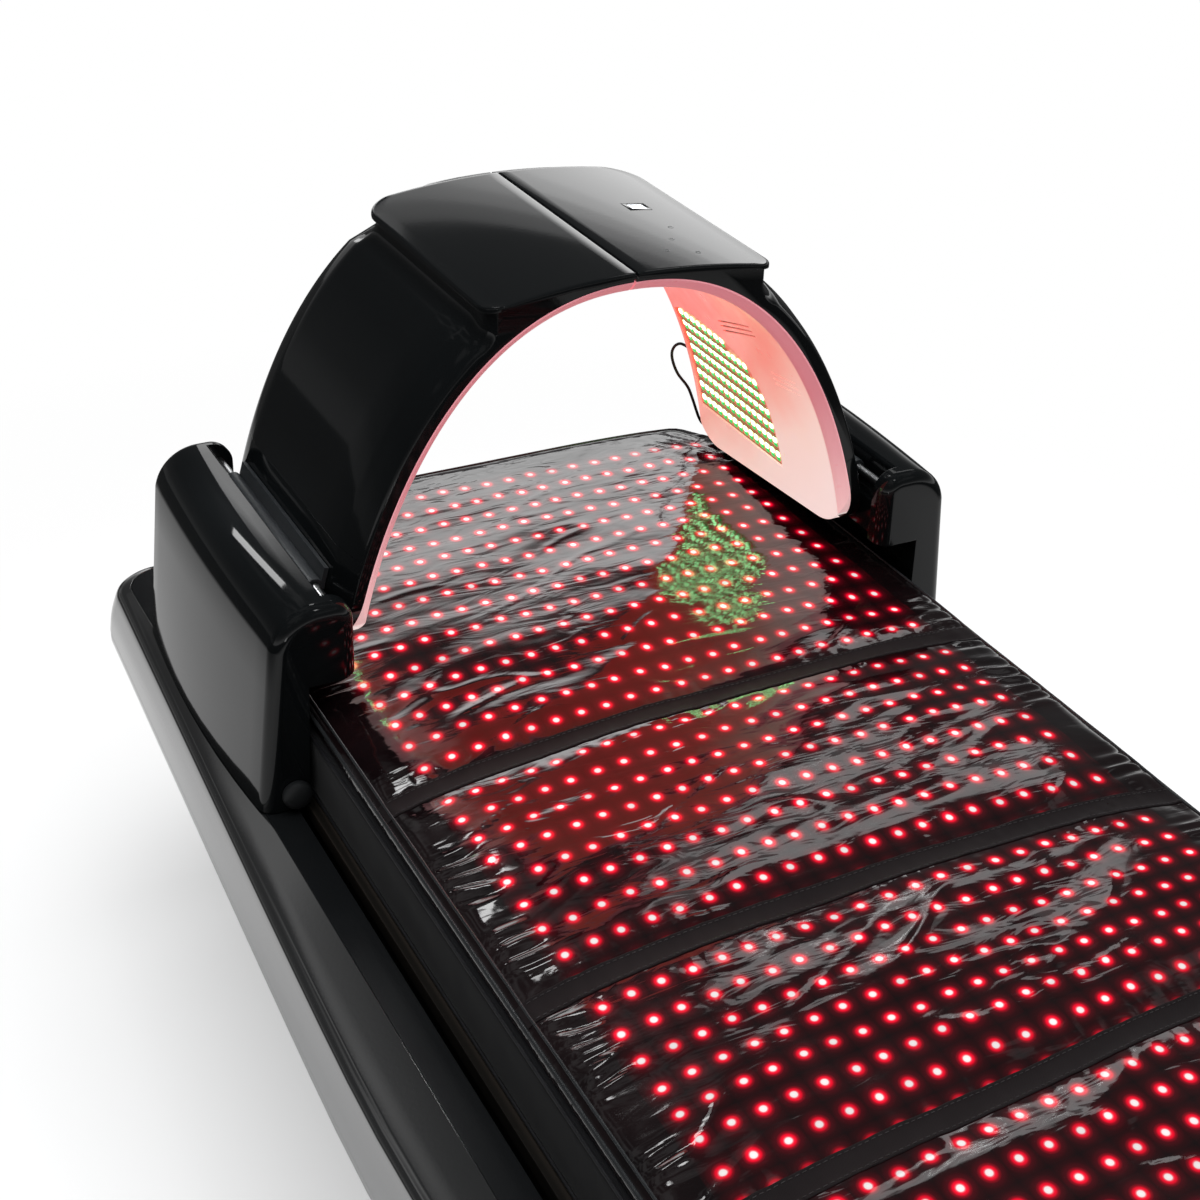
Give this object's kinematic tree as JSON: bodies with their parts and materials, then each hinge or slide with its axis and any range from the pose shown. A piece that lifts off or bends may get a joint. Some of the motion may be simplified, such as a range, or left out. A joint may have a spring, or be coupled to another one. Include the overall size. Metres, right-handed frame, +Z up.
{
  "type": "red light therapy bed",
  "caption": "Low moulded couch with a padded vinyl mat of red lights and a sliding two-part light arch over it, hinged in a pedestal at each side.",
  "frame": {"origin": "on the floor, under the middle of the bed", "axes": "+Y along the bed towards the end where the arch stands at rest, +Z up, +X to the right of somebody who looks along +Y"},
  "size_m": [1.0516, 2.154, 0.992],
  "materials": {
    "gloss_black": "polished black, mirror-like",
    "dark_steel": "satin powder coat",
    "bright_steel": "brushed",
    "grey_fabric": "woven, matt",
    "led_mat": "clear wrinkled vinyl over a black backing with red lights",
    "pink_liner": "smooth, lit from behind the window",
    "led_board": "light board with rows of bright lights",
    "black_rubber": "matt",
    "display_glass": "small lit window",
    "wood_board": "plain board, out of sight"
  },
  "bodies": {
    "base": {"side_shell_right": "gloss_black", "side_shell_left": "gloss_black", "skirt_right": "gloss_black", "skirt_left": "gloss_black", "side_deck_right": "gloss_black", "side_deck_left": "gloss_black", "frame_beam_right": "dark_steel", "frame_beam_left": "dark_steel", "leg_head_right": "dark_steel", "leg_head_left": "dark_steel", "leg_foot_right": "dark_steel", "leg_foot_left": "dark_steel", "foot_pad_head_right": "black_rubber", "foot_pad_head_left": "black_rubber", "foot_pad_foot_right": "black_rubber", "foot_pad_foot_left": "black_rubber", "guide_rail_right": "bright_steel", "guide_rail_left": "bright_steel", "board_riser_right": "wood_board", "board_riser_left": "wood_board", "cross_member_head": "dark_steel", "cross_member_foot": "dark_steel", "end_deck_head": "gloss_black", "end_deck_foot": "gloss_black", "mattress_platform": "wood_board", "power_supply": "dark_steel", "mains_inlet": "black_rubber", "mattress": "grey_fabric", "light_mat": "led_mat"},
    "mains_rocker": {"mains_rocker": "black_rubber"},
    "carriage_right": {"pedestal_right": "gloss_black", "carriage_bracket_right": "dark_steel", "slide_block_right": "bright_steel", "hinge_pin_right": "bright_steel", "bumper_right": "black_rubber", "arch_lead": "black_rubber", "pedestal_lead_gland": "black_rubber"},
    "arch_right": {"arch_shell_right": "gloss_black", "wing_shell_right": "gloss_black", "liner_right": "pink_liner", "light_board_right": "led_board", "hinge_arm_right": "dark_steel", "catch_magnet_right": "bright_steel", "arch_cap_right": "gloss_black", "display_window": "display_glass", "arch_lead_gland": "black_rubber"},
    "carriage_left": {"pedestal_left": "gloss_black", "carriage_bracket_left": "dark_steel", "slide_block_left": "bright_steel", "hinge_pin_left": "bright_steel", "bumper_left": "black_rubber"},
    "arch_left": {"arch_shell_left": "gloss_black", "wing_shell_left": "gloss_black", "liner_left": "pink_liner", "light_board_left": "led_board", "hinge_arm_left": "dark_steel", "catch_magnet_left": "bright_steel", "arch_cap_left": "gloss_black"}
  },
  "joints": [
    {"name": "carriage_right_slide", "type": "slide", "parent": "base", "child": "carriage_right", "axis": [0, 1, 0], "range_m": [-1.4, 0]},
    {"name": "carriage_left_slide", "type": "slide", "parent": "base", "child": "carriage_left", "axis": [0, 1, 0], "range_m": [-1.4, 0]},
    {"name": "arch_right_hinge", "type": "hinge", "parent": "carriage_right", "child": "arch_right", "pos_m": [0.36, 0.689, 0.662], "axis": [0, 1, 0], "range_deg": [0, 60]},
    {"name": "arch_left_hinge", "type": "hinge", "parent": "carriage_left", "child": "arch_left", "pos_m": [-0.36, 0.689, 0.662], "axis": [0, -1, 0], "range_deg": [0, 60]},
    {"name": "mains_rocker_hinge", "type": "hinge", "parent": "base", "child": "mains_rocker", "pos_m": [-0.228, 1.068, 0.393], "axis": [1, 0, 0], "range_deg": [0, 14]}
  ],
  "couplings": [
    {"joint": "carriage_left_slide", "follows": "carriage_right_slide", "ratio": 1}
  ]
}
